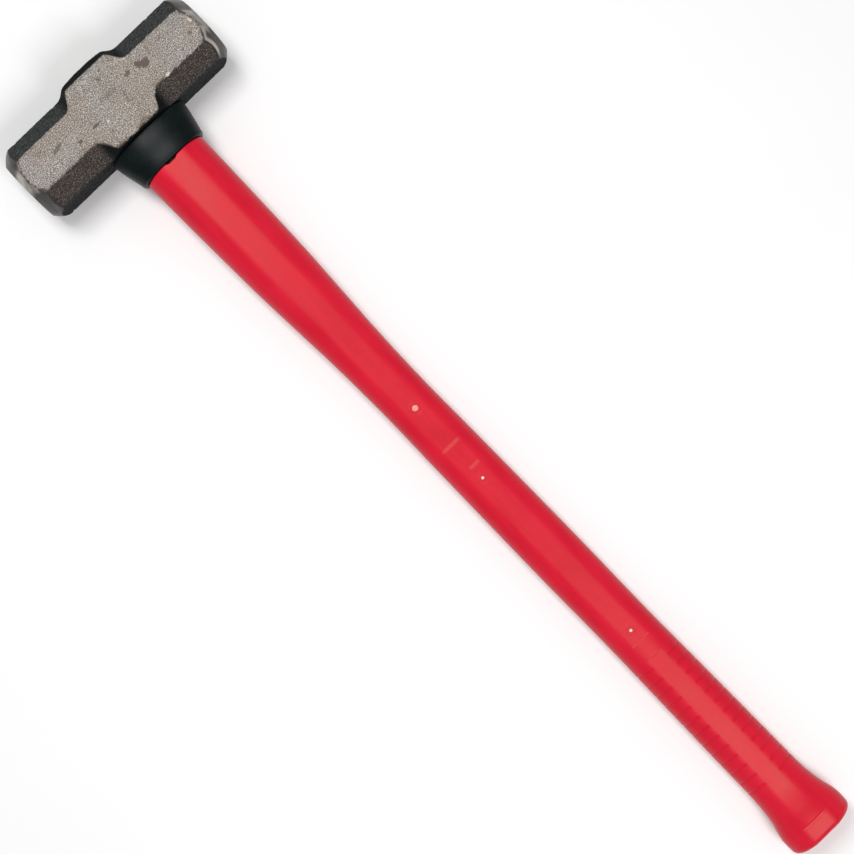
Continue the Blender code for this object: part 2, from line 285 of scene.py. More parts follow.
def carve(obj, tools):
    """Cuts or joins each (object, operation) into obj, then removes the tools."""
    for tool, operation in tools:
        modifier = obj.modifiers.new(tool.name, "BOOLEAN")
        modifier.operation = operation
        modifier.solver = "MANIFOLD"
        modifier.object = tool
    graph = bpy.context.evaluated_depsgraph_get()
    mesh = bpy.data.meshes.new_from_object(obj.evaluated_get(graph))
    obj.modifiers.clear()
    obj.data = mesh
    for tool, _ in tools:
        bpy.data.objects.remove(tool)


def vertices(obj):
    flat = np.empty(len(obj.data.vertices) * 3, np.float32)
    obj.data.vertices.foreach_get("co", flat)
    return flat.reshape(-1, 3).astype(float)


def paint(obj, name, values):
    """Stores a value for each vertex, for the materials to read."""
    attribute = obj.data.attributes.new(name, "FLOAT", "POINT")
    attribute.data.foreach_set("value", np.clip(values, 0, 1).astype(np.float32))


def finish_piece(obj, node, material):
    obj.data.name = obj.name
    obj.data.materials.clear()
    obj.data.materials.append(material)
    obj.data.shade_smooth()
    obj.data.set_sharp_from_angle(angle=SHARP_ANGLE)
    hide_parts(node)
    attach(obj, "root")


# ---------------------------------------------------------------- head


def softened(height, x, *sizes):
    """A height that depends on x, averaged a little to both sides so that its corners are round."""
    offsets = np.linspace(-SCALLOP_ROUNDING, SCALLOP_ROUNDING, 5)
    return sum(height(x + offset, *sizes) for offset in offsets) / len(offsets)


def scallop_rise(x, rise):
    """How far the scallop at the end of a corner chamfer has risen at x, up to the given rise."""
    arc_run = SCALLOP_RADIUS * math.sin(SCALLOP_ANGLE)
    arc_rise = SCALLOP_RADIUS * (1 - math.cos(SCALLOP_ANGLE))
    run = arc_run + (rise - arc_rise) / math.tan(SCALLOP_ANGLE)
    inward = np.clip(BOSS_HALF_LENGTH + run - np.abs(x), 0.0, run)
    arc = SCALLOP_RADIUS - np.sqrt(SCALLOP_RADIUS**2 - np.minimum(inward, arc_run) ** 2)
    ramp = arc_rise + (inward - arc_run) * math.tan(SCALLOP_ANGLE)
    return np.where(inward < arc_run, arc, ramp)


def crown_height(x):
    """The top of the head at x, over its axis: a shallow arch over the eye that falls to the octagon."""
    flat = HEAD_HEIGHT / 2
    arch = flat + CROWN_RISE - CROWN_ARCH_RADIUS + np.sqrt(CROWN_ARCH_RADIUS**2 - x**2)
    fall = smoothstep(CROWN_SHOULDER_INNER, CROWN_SHOULDER_OUTER, np.abs(x))
    return arch * (1 - fall) + flat * fall


def head_facets(x):
    """The head's eight facets at x, as (direction along Y, direction along Z, distance from the axis).

    They are the front, back, top, bottom, upper front, upper back, lower front and lower back.
    """
    half_width, half_height = HEAD_WIDTH / 2, HEAD_HEIGHT / 2
    top = softened(crown_height, x)
    facet_edge = half_height - CORNER_CHAMFER
    crown_edge = half_height + CROWN_RISE - CROWN_CHAMFER
    upper_rise = softened(scallop_rise, x, crown_edge - facet_edge)
    top_edge = np.minimum(facet_edge + upper_rise, top - BOSS_EDGE_BREAK)
    bottom_chamfer = CORNER_CHAMFER - softened(scallop_rise, x, CORNER_CHAMFER - BOSS_EDGE_BREAK)
    slant = math.sqrt(0.5)
    upper = slant * (top_edge + half_width)
    lower = slant * (half_height + half_width - bottom_chamfer)
    level = np.full_like(x, half_width)
    return [
        (0.0, 1.0, level),
        (0.0, -1.0, level),
        (1.0, 0.0, top),
        (-1.0, 0.0, np.full_like(x, half_height)),
        (slant, slant, upper),
        (slant, -slant, upper),
        (-slant, slant, lower),
        (-slant, -slant, lower),
    ]


def facet_reach(x, angle):
    """For each facet, its nearness to being the surface: 1 where it is, less where another one is."""
    towards_y, towards_z = np.sin(angle), np.cos(angle)
    reach = [
        np.maximum(towards_y * y + towards_z * z, 1e-6) / distance for y, z, distance in head_facets(x)
    ]
    return np.array(reach)


def octagon_radius(x, angle):
    """From the head's axis to its forged surface at x. The angle is from +Z towards +Y."""
    reach = facet_reach(x, angle)
    most = reach.max(axis=0)
    return 1 / (most * ((reach / most) ** EDGE_SHARPNESS).sum(axis=0) ** (1 / EDGE_SHARPNESS))


def turned_profile():
    """The ground end's outline from the middle of the face outwards, as (radius, distance from the end)."""
    face_steps, bevel_steps = 25, 26
    profile = []
    for i in range(1, face_steps + 1):
        radius = FACE_RADIUS * i / face_steps
        t = max(radius - FACE_FLAT_RADIUS, 0) / (FACE_RADIUS - FACE_FLAT_RADIUS)
        profile.append((radius, FACE_CROWN_DROP * t * t))
    middle = math.atan2(FACE_BEVEL_LENGTH, FACE_BEVEL_DEPTH)
    half_sweep = math.asin(math.hypot(FACE_BEVEL_LENGTH, FACE_BEVEL_DEPTH) / 2 / FACE_BEVEL_RADIUS)
    start = middle - half_sweep
    for i in range(1, bevel_steps + 1):
        heading = start + 2 * half_sweep * i / bevel_steps
        radius = FACE_RADIUS + FACE_BEVEL_RADIUS * (math.sin(heading) - math.sin(start))
        drop = FACE_CROWN_DROP + FACE_BEVEL_RADIUS * (math.cos(start) - math.cos(heading))
        profile.append((radius, drop))
    return profile


def head_stations():
    """(x, radius of the ground outline) of each ring along the head; past the bevels it has no effect."""
    step = 0.0008
    profile = turned_profile()
    half = HEAD_LENGTH / 2
    inner = half - profile[-1][1]
    count = round(2 * inner / step)
    body = [(inner * (2 * i / count - 1), PAST_HEAD) for i in range(1, count)]
    left = [(drop - half, radius) for radius, drop in profile]
    right = [(half - drop, radius) for radius, drop in reversed(profile)]
    return np.array(left + body + right)


def edge_angles(count):
    """Angles round the head's axis, closer together near the octagon's corners."""
    flat = HEAD_WIDTH / 2 - CORNER_CHAMFER
    corner = math.atan2(flat, HEAD_WIDTH / 2)
    corners = [q * math.pi / 2 + side * corner for q in range(5) for side in (-1, 1)]
    fine = np.linspace(0, 2 * math.pi, 4000)
    crowding, spread = 2.5, 0.045
    density = 1 + crowding * sum(np.exp(-(((fine - c) / spread) ** 2)) for c in corners)
    reached = np.concatenate([[0], np.cumsum((density[1:] + density[:-1]) / 2)])
    return np.interp(np.arange(count) / count * reached[-1], reached, fine)


def bevel_oval(x, angle):
    """The bevels' extra radius at an angle, which fades out at the striking faces."""
    return FACE_BEVEL_OVAL * np.cos(angle) ** 2 * smoothstep(0.001, 0.006, HEAD_LENGTH / 2 - np.abs(x))


def ground_away(x, angle):
    """How much grinding took off the forged surface: above 0 on the bevels and faces, below 0 elsewhere."""
    profile = turned_profile()
    drops = np.array([drop for _, drop in profile])
    radii = np.array([r for r, _ in profile])
    from_end = HEAD_LENGTH / 2 - np.abs(x)
    outline = np.interp(from_end, drops, radii)
    outline = np.where(from_end > drops[-1], PAST_HEAD, outline + bevel_oval(x, angle))
    return octagon_radius(x, angle) - outline


# Marks on the head's front: (x, y from the head's axis, half length, half width, turn, depth, stain)
FRONT_MARKS = (
    (0.0394, 0.0038, 0.0058, 0.0034, -14, 0.00030, 1.00),
    (0.0350, 0.0068, 0.0023, 0.0028, 24, 0.00030, 1.00),
    (0.0392, 0.0018, 0.0034, 0.0024, -20, 0.00030, 1.00),
    (0.0240, 0.0065, 0.0034, 0.0019, 22, 0.00030, 0.85),
    (0.0048, 0.0184, 0.0034, 0.0009, -48, 0.00055, 1.00),
    (-0.0577, 0.0019, 0.0058, 0.0020, 20, 0.00025, 0.75),
    (-0.0226, -0.0064, 0.0036, 0.0013, 4, 0.00030, 1.00),
    (-0.0404, -0.0070, 0.0018, 0.0013, 0, 0.00035, 1.00),
    (0.0830, -0.0044, 0.0019, 0.0018, 0, 0.00025, 0.80),
    (0.0113, -0.0050, 0.0062, 0.0006, 82, 0.00022, 0.70),
    (0.0000, 0.0052, 0.0110, 0.0026, -1, 0.00014, 0.40),
    (0.0630, 0.0100, 0.0040, 0.0012, 40, 0.00015, 0.40),
    (0.0130, -0.0282, 0.0085, 0.0005, 3, 0.00006, 0.85),
    (-0.0700, 0.0095, 0.0022, 0.0008, -15, 0.00020, 0.70),
    (0.0700, -0.0100, 0.0016, 0.0010, 30, 0.00020, 0.70),
)

# Bright chips on the head's front, in the same terms
FRONT_CHIPS = (
    (0.0470, -0.0164, 0.0024, 0.0011, 14, 0.00030, 0.75),
    (0.0898, 0.0030, 0.0010, 0.0022, 10, 0.00015, 0.80),
    (0.0068, 0.0168, 0.0016, 0.0004, -48, 0.00010, 0.90),
    (-0.0130, -0.0105, 0.0012, 0.0008, 30, 0.00010, 0.70),
    (-0.0080, 0.0060, 0.0010, 0.0006, 0, 0.00010, 0.60),
)

# Marks on the head's back, in the same terms
BACK_MARKS = (
    (-0.0480, 0.0050, 0.0060, 0.0032, 25, 0.00030, 0.70),
    (0.0180, -0.0090, 0.0024, 0.0019, -10, 0.00025, 0.80),
    (0.0660, 0.0035, 0.0048, 0.0012, -35, 0.00030, 0.85),
    (-0.0120, 0.0150, 0.0035, 0.0010, 60, 0.00035, 0.85),
    (0.0330, 0.0080, 0.0020, 0.0014, 0, 0.00025, 0.75),
    (-0.0810, -0.0060, 0.0022, 0.0015, 15, 0.00020, 0.70),
)


def mark_cover(points, marks, side):
    """(depth, stain) that the marks on one side leave at each point."""
    depth, stain = np.zeros(len(points)), np.zeros(len(points))
    facing = side * (points[:, 2] - AXIS_Z) > HEAD_WIDTH * 0.47
    near = np.flatnonzero(facing)
    ragged = fractal(points[near], 0.0020, 2, seed=4)
    for x, y, half_length, half_width, turn, deep, stained in marks:
        across, along = points[near, 0] - x, points[near, 1] - HEAD_Y - y
        c, s = math.cos(math.radians(turn)), math.sin(math.radians(turn))
        u = (across * c + along * s) / half_length
        v = (along * c - across * s) / half_width
        p = MARK_SQUARENESS
        edge = 1 + 0.30 * ragged - (np.abs(u) ** p + np.abs(v) ** p) ** (1 / p)
        cover = smoothstep(0.0, 0.16, edge)
        depth[near] = np.maximum(depth[near], cover * deep)
        stain[near] = np.maximum(stain[near], cover * stained)
    return depth, stain


def forging_relief(points, ground):
    """How far the skin lies under the smooth shape: waviness from forging, grain and scale pits."""
    swell = 0.5 + 0.5 * fractal(points, 0.022, 2, seed=1)
    grain = 0.5 + 0.5 * fractal(points, 0.0030, 3, seed=2)
    pits = np.clip(fractal(points, 0.0052, 3, seed=3) - 0.34, 0, 1)
    forged = 0.00028 * swell + 0.00022 * grain + 0.0011 * pits
    turned = 0.00004 * swell
    return forged * (1 - ground) + turned * ground


def make_head():
    stations = head_stations()
    angles = edge_angles(300)
    x = np.repeat(stations[:, :1], len(angles), axis=1)
    angle = np.repeat(angles[None, :], len(stations), axis=0)
    outline = stations[:, 1:] + bevel_oval(x, angle)
    forged = octagon_radius(x, angle)
    p = GROUND_SHARPNESS
    radius = np.minimum(forged, outline)
    radius = radius * (1 + (radius / np.maximum(forged, outline)) ** p) ** (-1 / p)
    grid = np.stack([x, HEAD_Y + radius * np.sin(angle), AXIS_Z + radius * np.cos(angle)], axis=-1)
    points = grid.reshape(-1, 3)
    ground = smoothstep(-0.0006, 0.0002, ground_away(x.ravel(), angle.ravel()))
    sink = forging_relief(points, ground)
    for marks, side in ((FRONT_MARKS, 1), (FRONT_CHIPS, 1), (BACK_MARKS, -1)):
        sink += mark_cover(points, marks, side)[0]
    radius = radius - np.minimum(sink.reshape(radius.shape), radius * 0.1)
    grid[..., 1] = HEAD_Y + radius * np.sin(angle)
    grid[..., 2] = AXIS_Z + radius * np.cos(angle)
    head = lofted("steel_head", grid)
    carve(head, [(eye_cutter(), "DIFFERENCE")])
    paint_head(head)
    return head


def eye_half_sizes(y, inset=0.0):
    """The eye's half length and half width at heights y over the head's axis."""
    height = np.minimum(np.abs(y) / (HEAD_HEIGHT / 2), 1.0)
    waist = EYE_WAIST_INSET * (1 - height**2) + inset
    return EYE_HALF_LENGTH - waist, EYE_HALF_WIDTH - waist


def eye_cutter():
    """The eye's hourglass, with its rims broken by a small flare."""
    steps, count, clearance = 30, 96, 0.004
    top = HEAD_HEIGHT / 2 + CROWN_RISE
    heights = np.linspace(-HEAD_HEIGHT / 2 - clearance, top + clearance, steps)
    turn = np.linspace(0, 2 * math.pi, count, endpoint=False)
    rings = []
    near_rims = [top - EYE_RIM_DEPTH, top - 0.0010, 0.0010 - HEAD_HEIGHT / 2]
    for y in np.sort(np.append(heights, near_rims)):
        to_rim = min(abs(y - top), abs(y + HEAD_HEIGHT / 2))
        flare = EYE_RIM_FLARE * (1 - smoothstep(0.0, EYE_RIM_DEPTH, to_rim))
        half_x, half_z = eye_half_sizes(y, -flare)
        x, z = superellipse(turn, half_x, half_z)
        rings.append(np.stack([AXIS_X + x, np.full_like(x, HEAD_Y + y), AXIS_Z + z], axis=-1))
    return lofted("eye_cutter", np.array(rings))


def paint_head(head):
    """Stores where the head is blasted, black with scale, ground or stained, where shade is painted, and
    where the bevels carry a painted highlight.
    """
    points = vertices(head)
    x, y, z = points[:, 0], points[:, 1] - HEAD_Y, points[:, 2] - AXIS_Z
    angle, radius = np.arctan2(y, z), np.hypot(y, z)
    reach = facet_reach(x, angle)
    share = (reach / reach.max(axis=0)) ** MASK_SHARPNESS
    front, back, _, bottom, _, _, lower_front, lower_back = share / share.sum(axis=0)
    flats = front + back
    blasted = smoothstep(0.25, 0.60, flats + 0.25 * fractal(points, 0.0035, 3, seed=5))
    in_eye = np.hypot((x - AXIS_X) / EYE_HALF_LENGTH, z / EYE_HALF_WIDTH) < 1.0
    blasted[in_eye] = 0.0
    edge = 4 * flats * (1 - flats) * np.where(y < 0, 1.0, 0.35)
    edge *= smoothstep(-0.30, 0.15, fractal(points, 0.0050, 3, seed=9) - 3.0 * x)
    # Painted shade: the scallops beside the eye, where shade falls, are marked for near-black paint, and so
    # is the bottom facet, which is darker because of how light falls there.
    beside_eye = 1 - smoothstep(BOSS_HALF_LENGTH + 0.006, BOSS_HALF_LENGTH + 0.015, np.abs(x))
    away = ground_away(x, angle)
    rim = smoothstep(-0.0017, -0.0008, away) - smoothstep(-0.0002, 0.0005, away)
    on_face = 1 - smoothstep(FACE_RADIUS - 0.0020, FACE_RADIUS + 0.0005, radius)
    # Painted highlight across the ground bevels: brightest where they face front and back, half bright on
    # the striking faces, varied at random.
    painted_bevel_highlight = np.maximum(np.cos(2 * angle), 0) ** 3 * (1 - on_face) + 0.5 * on_face
    painted_bevel_highlight += (0.45 - 0.30 * on_face) * fractal(points, 0.009, 2, seed=8)
    stain = np.maximum(mark_cover(points, FRONT_MARKS, 1)[1], mark_cover(points, BACK_MARKS, -1)[1])
    paint(head, "blasted", blasted)
    paint(head, "ground", smoothstep(-0.0005, 0.0003, away))
    paint(head, "rim", rim)
    # painted highlight on the bevels
    paint(head, "painted_bevel_highlight", smoothstep(0.15, 0.85, painted_bevel_highlight))
    # painted shade beside the eye and on the bottom facet
    paint(head, "painted_shade", np.maximum(beside_eye * (1 - blasted), 0.9 * bottom))
    paint(head, "brown", lower_front + lower_back)
    paint(head, "bare", np.maximum(mark_cover(points, FRONT_CHIPS, 1)[1], bright_sliver_cover(x, angle, away)))
    paint(head, "edge", edge)
    paint(head, "stain", stain)


def bright_sliver_cover(x, angle, away):
    """A bright sliver painted along the lower front edge of the bevel at the +X end."""
    band = smoothstep(0.0001, 0.0005, away) - smoothstep(0.0013, 0.0028, away)
    start, full, fade, end = np.radians(BRIGHT_SLIVER_ANGLES)
    along = smoothstep(start, full, angle) * (1 - smoothstep(fade, end, angle))
    return 0.6 * band * along * (x > 0)


# ---------------------------------------------------------------- core and resin


def make_core():
    """The fibreglass rod, with its sawn end's edge slightly broken."""
    count, edge, end_rings = 96, 0.0006, 14
    turn = np.linspace(0, 2 * math.pi, count, endpoint=False)
    low, high = CORE_LOW.y, CORE_HIGH.y
    stations = [(low, 1 - i / end_rings) for i in range(end_rings - 1, 0, -1)]
    stations += [(y, 1.0) for y in np.linspace(low + edge, high - edge, 60)]
    stations += [(high, 1 - i / end_rings) for i in range(1, end_rings)]
    rings = []
    for y, share in stations:
        x, z = superellipse(turn, CORE_HALF_LENGTH * share, CORE_HALF_WIDTH * share)
        ring = np.stack([AXIS_X + x, np.full_like(x, y), AXIS_Z + z], axis=-1)
        if y == high:
            ring[:, 1] -= 0.00012 * (1 + fractal(ring, 0.0016, 2, seed=6))
        rings.append(ring)
    core = lofted("core_rod", np.array(rings))
    carve(core, [(pin_stud(distance, radius), "UNION") for distance, radius, _ in PIN_HOLES])
    paint_core(core)
    return core


def paint_core(core):
    """Stores where the widest stud is, which has a thin film of red plastic over it."""
    points = vertices(core)
    distance, radius, _ = PIN_HOLES[0]
    off_pin = np.hypot(points[:, 0] - AXIS_X, JACKET_HIGH.y - points[:, 1] - distance)
    outside = np.abs(points[:, 2] - AXIS_Z) > CORE_HALF_WIDTH + GAP
    paint(core, "film", ((off_pin < radius) & outside).astype(float))


def pin_stud(distance, radius):
    """The fibreglass in a moulding-pin hole, from just under the front strip to just under the back."""
    thickness = smooth_between(JACKET_SECTIONS, distance)[1]
    return cylinder(distance, radius - PIN_STUD_GAP, thickness - 2 * PIN_STUD_DEPTH)


def make_resin():
    """Cast resin between the eye and the core, with a surface drawn up along both walls."""
    count, wall_steps, top_steps = 96, 14, 12
    turn = np.linspace(0, 2 * math.pi, count, endpoint=False)
    low, high = RESIN_LOW.y - HEAD_Y, RESIN_HIGH.y - HEAD_Y
    meniscus = 0.0009
    half_x, half_z = CORE_HALF_LENGTH + GAP, CORE_HALF_WIDTH + GAP
    core_x, core_z = superellipse(turn, half_x, half_z)
    loops = []
    for y in np.linspace(low, high, wall_steps):
        x, z = superellipse(turn, *eye_half_sizes(y, GAP))
        loops.append((x, np.full(count, y), z))
    rim_x, rim_z = loops[-1][0], loops[-1][2]
    for i in range(1, top_steps):
        t = i / top_steps
        sag = meniscus * (4 * t * (1 - t)) ** 0.6
        ripple = 0.25 * meniscus * np.sin(3 * turn + 1.3) * t * (1 - t)
        x, z = rim_x + (core_x - rim_x) * t, rim_z + (core_z - rim_z) * t
        loops.append((x, high - sag + ripple, z))
    for y in np.linspace(high, low, wall_steps):
        loops.append((core_x, np.full(count, y), core_z))
    grid = np.array([[AXIS_X + x, HEAD_Y + y, AXIS_Z + z] for x, y, z in loops])
    return sleeve("resin_fill", grid.transpose(0, 2, 1))


# ---------------------------------------------------------------- collar


def make_collar():
    count, steps = 160, 56
    turn = np.linspace(0, 2 * math.pi, count, endpoint=False)
    core_x, core_z = superellipse(turn, CORE_HALF_LENGTH + GAP, CORE_HALF_WIDTH + GAP)
    loops = []
    middle = np.linspace(COLLAR_EDGE_RADIUS, COLLAR_LENGTH - COLLAR_EDGE_RADIUS, steps)[1:-1]
    for distance, inset in collar_rows(middle):
        width, thickness = smooth_between(COLLAR_SECTIONS, distance)
        x, z = superellipse(turn, width / 2 - inset, thickness / 2 - inset, COLLAR_SQUARENESS)
        loops.append((x, np.full(count, distance), z))
    for distance in (COLLAR_LENGTH, 0.0):
        loops.append((core_x, np.full(count, distance), core_z))
    grid = np.array([[AXIS_X + x, COLLAR_HIGH.y - d, AXIS_Z + z] for x, d, z in loops])
    return sleeve("rubber_collar", grid.transpose(0, 2, 1))


def collar_rows(middle):
    """(distance below the collar's top, inset) down its outer wall, with both edges rounded."""
    edge, steps = COLLAR_EDGE_RADIUS, 5
    rounding = [math.pi / 2 * i / steps for i in range(steps + 1)]
    top = [(edge * (1 - math.cos(a)), edge * (1 - math.sin(a))) for a in rounding]
    bottom = [(COLLAR_LENGTH - d, inset) for d, inset in reversed(top)]
    return top + [(d, 0.0) for d in middle] + bottom


# ---------------------------------------------------------------- jacket


def edge_inset(distance):
    """How far the jacket's rounded top lip and the knob's rounded end draw its section in."""
    inset = 0.0
    ends = ((distance, JACKET_LIP_RADIUS), (JACKET_LENGTH - distance, KNOB_EDGE_RADIUS))
    for from_end, radius in ends:
        if from_end < radius:
            inset += radius - math.sqrt(radius**2 - (radius - max(from_end, 0.0)) ** 2)
    return inset


def groove_depth(distance):
    """The depth of the grip's rounded grooves at a distance below the jacket's top edge."""
    nearest = round((distance - FIRST_GROOVE) / GROOVE_PITCH)
    if not 0 <= nearest < GROOVE_COUNT:
        return 0.0
    off_centre = abs(distance - FIRST_GROOVE - nearest * GROOVE_PITCH)
    return GROOVE_DEPTH * (1 - smoothstep(0.0, GROOVE_WIDTH / 2, off_centre))


def strip_rise(distance):
    """How far the flat strip swells at a distance, as (height of a low dome, share of the plain oval)."""
    start, end = STRIP_BREAK
    into = smoothstep(start - STRIP_BREAK_STEP / 2, start + STRIP_BREAK_STEP / 2, distance)
    out_of = smoothstep(end - STRIP_BREAK_STEP, end + STRIP_BREAK_STEP, distance)
    oval = smoothstep(*STRIP_FLARE, distance) - smoothstep(*STRIP_PANEL, distance)
    return STRIP_BREAK_RISE * (into - out_of), oval


def jacket_ring(distance):
    """The jacket's section as (x, z): an oval, cut flat by a soft-edged strip on its front and back."""
    strip_steps, side_steps = 26, 50
    width, thickness, strip = smooth_between(JACKET_SECTIONS, distance)
    inset = edge_inset(distance)
    half_width, half_thickness = width / 2 - inset, thickness / 2 - inset
    half_strip = strip / 2
    share = (half_strip / half_width) ** JACKET_SQUARENESS
    crest = half_thickness / (1 - share) ** (1 / JACKET_SQUARENESS)
    strip_angle = math.acos((half_strip / half_width) ** (JACKET_SQUARENESS / 2))
    across = np.linspace(-half_strip, half_strip, strip_steps + 1)[1:-1]
    angle = np.linspace(strip_angle, -strip_angle, side_steps + 1)
    side_x, side_z = superellipse(angle, half_width, crest, JACKET_SQUARENESS)
    x = np.concatenate([across, side_x, -across, -side_x[::-1]])
    front = np.ones(strip_steps - 1)
    above = np.concatenate([front, side_z, -front, side_z[::-1]])
    outwards = np.abs(x) / half_width
    oval = crest * (1 - outwards.clip(0, 1) ** JACKET_SQUARENESS) ** (1 / JACKET_SQUARENESS)
    dome, oval_share = strip_rise(distance)
    flat = half_thickness + dome * (1 - (x / half_strip) ** 2).clip(0, 1)
    p = STRIP_SOFTNESS
    cut = oval * (1 + (oval / flat) ** p) ** (-1 / p)
    z = np.copysign(cut + (oval - cut) * oval_share, above)
    depth = groove_depth(distance) * smoothstep(*GROOVE_RUN_OUT, np.abs(x) - half_strip)
    depth *= 1 - 0.7 * smoothstep(0.85, 1.0, outwards)
    length = np.hypot(x, z)
    return x * (1 - depth / length), z * (1 - depth / length)


def witness_cover(distance, x):
    """How far, from 0 to 1, the mould's witness lines stand at each x across the front strip."""
    cover = np.zeros_like(x)
    for place, start, end in WITNESS_LINES:
        if abs(distance - place) < WITNESS_HALF_WIDTH:
            rise = math.cos(math.pi / 2 * (distance - place) / WITNESS_HALF_WIDTH)
            span = smoothstep(start, start + 0.0010, x) - smoothstep(end - 0.0010, end, x)
            cover = np.maximum(cover, rise * span)
    return cover


def jacket_stations():
    """Distances below the jacket's top edge where it gets a ring."""
    coarse, fine, lip_steps, knob_steps = 0.0022, 0.0003, 6, 18
    stations = set(np.arange(JACKET_LIP_RADIUS + coarse, JACKET_LENGTH - KNOB_EDGE_RADIUS, coarse))
    for i in range(GROOVE_COUNT):
        middle = FIRST_GROOVE + i * GROOVE_PITCH
        stations |= {middle + fine * j for j in range(-4, 5)}
    for place, *_ in WITNESS_LINES:
        stations |= {place + WITNESS_HALF_WIDTH * j / 3 for j in range(-3, 4)}
    for place in (*STRIP_BREAK, *STRIP_PANEL):
        stations |= {place + STRIP_BREAK_STEP * j / 4 for j in range(-4, 5)}
    for i in range(knob_steps + 1):
        stations.add(JACKET_LENGTH - KNOB_EDGE_RADIUS * (1 - math.sin(math.pi / 2 * i / knob_steps)))
    for i in range(lip_steps + 1):
        stations.add(JACKET_LIP_RADIUS * (1 - math.cos(math.pi / 2 * i / lip_steps)))
    return sorted(stations)


def make_jacket():
    rings = []
    for distance in jacket_stations():
        x, z = jacket_ring(distance)
        z = z + WITNESS_HEIGHT * witness_cover(distance, x) * (z > 0)
        notch = 1 - smoothstep(0.35, 1.0, np.abs(x - LIP_NOTCH_X) / LIP_NOTCH_HALF_WIDTH)
        drop = LIP_NOTCH_DEPTH * notch * (z > 0) * (1 - smoothstep(0.0, LIP_NOTCH_REACH, distance))
        rings.append(np.stack([AXIS_X + x, JACKET_HIGH.y - distance - drop, AXIS_Z + z], axis=-1))
    rings = np.array(rings)
    ripple = fractal(rings.reshape(-1, 3), 0.030, 2, seed=7).reshape(rings.shape[:2])
    middle = np.array([AXIS_X, 0, AXIS_Z])
    outward = (rings - middle) * np.array([1, 0, 1])
    outward /= np.linalg.norm(outward, axis=-1, keepdims=True)
    rings += outward * (JACKET_RIPPLE * ripple)[..., None]
    jacket = lofted("red_jacket", rings)
    tools = [(core_bore(), "DIFFERENCE")]
    for distance, radius, ring in PIN_HOLES:
        tools += [(pin_ring(distance, ring, side), "UNION") for side in (1, -1)]
        tools.append((cylinder(distance, radius, PIN_DRILL_LENGTH), "DIFFERENCE"))
    carve(jacket, tools)
    paint_jacket(jacket)
    return jacket


def paint_jacket(jacket):
    """Stores where the mould's witness lines and the pins' rings are, which are painted lighter as a painted
    highlight of their thin raised ridges.
    """
    points = vertices(jacket)
    x, distance = points[:, 0] - AXIS_X, JACKET_HIGH.y - points[:, 1]
    pale = np.zeros(len(points))
    for place, start, end in WITNESS_LINES:
        near = (np.abs(distance - place) < WITNESS_HALF_WIDTH * 0.8) & (x > start) & (x < end)
        pale[near & (points[:, 2] > AXIS_Z)] = 1.0
    for place, _, ring in PIN_HOLES:
        near = np.abs(np.hypot(x, distance - place) - ring) < PIN_RING_THICKNESS
        pale[near] = np.maximum(pale[near], 0.35)
    paint(jacket, "pale", pale)


def core_bore():
    turn = np.linspace(0, 2 * math.pi, 96, endpoint=False)
    x, z = superellipse(turn, CORE_HALF_LENGTH + GAP, CORE_HALF_WIDTH + GAP)
    heights = (JACKET_HIGH.y + 0.01, CORE_LOW.y - GAP)
    rings = [np.stack([AXIS_X + x, np.full_like(x, y), AXIS_Z + z], axis=-1) for y in heights]
    return lofted("core_bore", np.array(rings))


def pin_ring(distance, radius, side):
    """A thin raised ring round a pin hole, sunk halfway into the flat strip."""
    thickness = smooth_between(JACKET_SECTIONS, distance)[1]
    bpy.ops.mesh.primitive_torus_add(
        major_radius=radius,
        minor_radius=PIN_RING_THICKNESS,
        major_segments=48,
        minor_segments=12,
        location=(AXIS_X, JACKET_HIGH.y - distance, AXIS_Z + side * (thickness / 2 - PIN_RING_SINK)),
    )
    return bpy.context.object


def cylinder(distance, radius, depth):
    """A cylinder across the handle's axis, at a distance below the jacket's top edge."""
    bpy.ops.mesh.primitive_cylinder_add(
        vertices=40, radius=radius, depth=depth, location=(AXIS_X, JACKET_HIGH.y - distance, AXIS_Z)
    )
    return bpy.context.object


# ---------------------------------------------------------------- materials


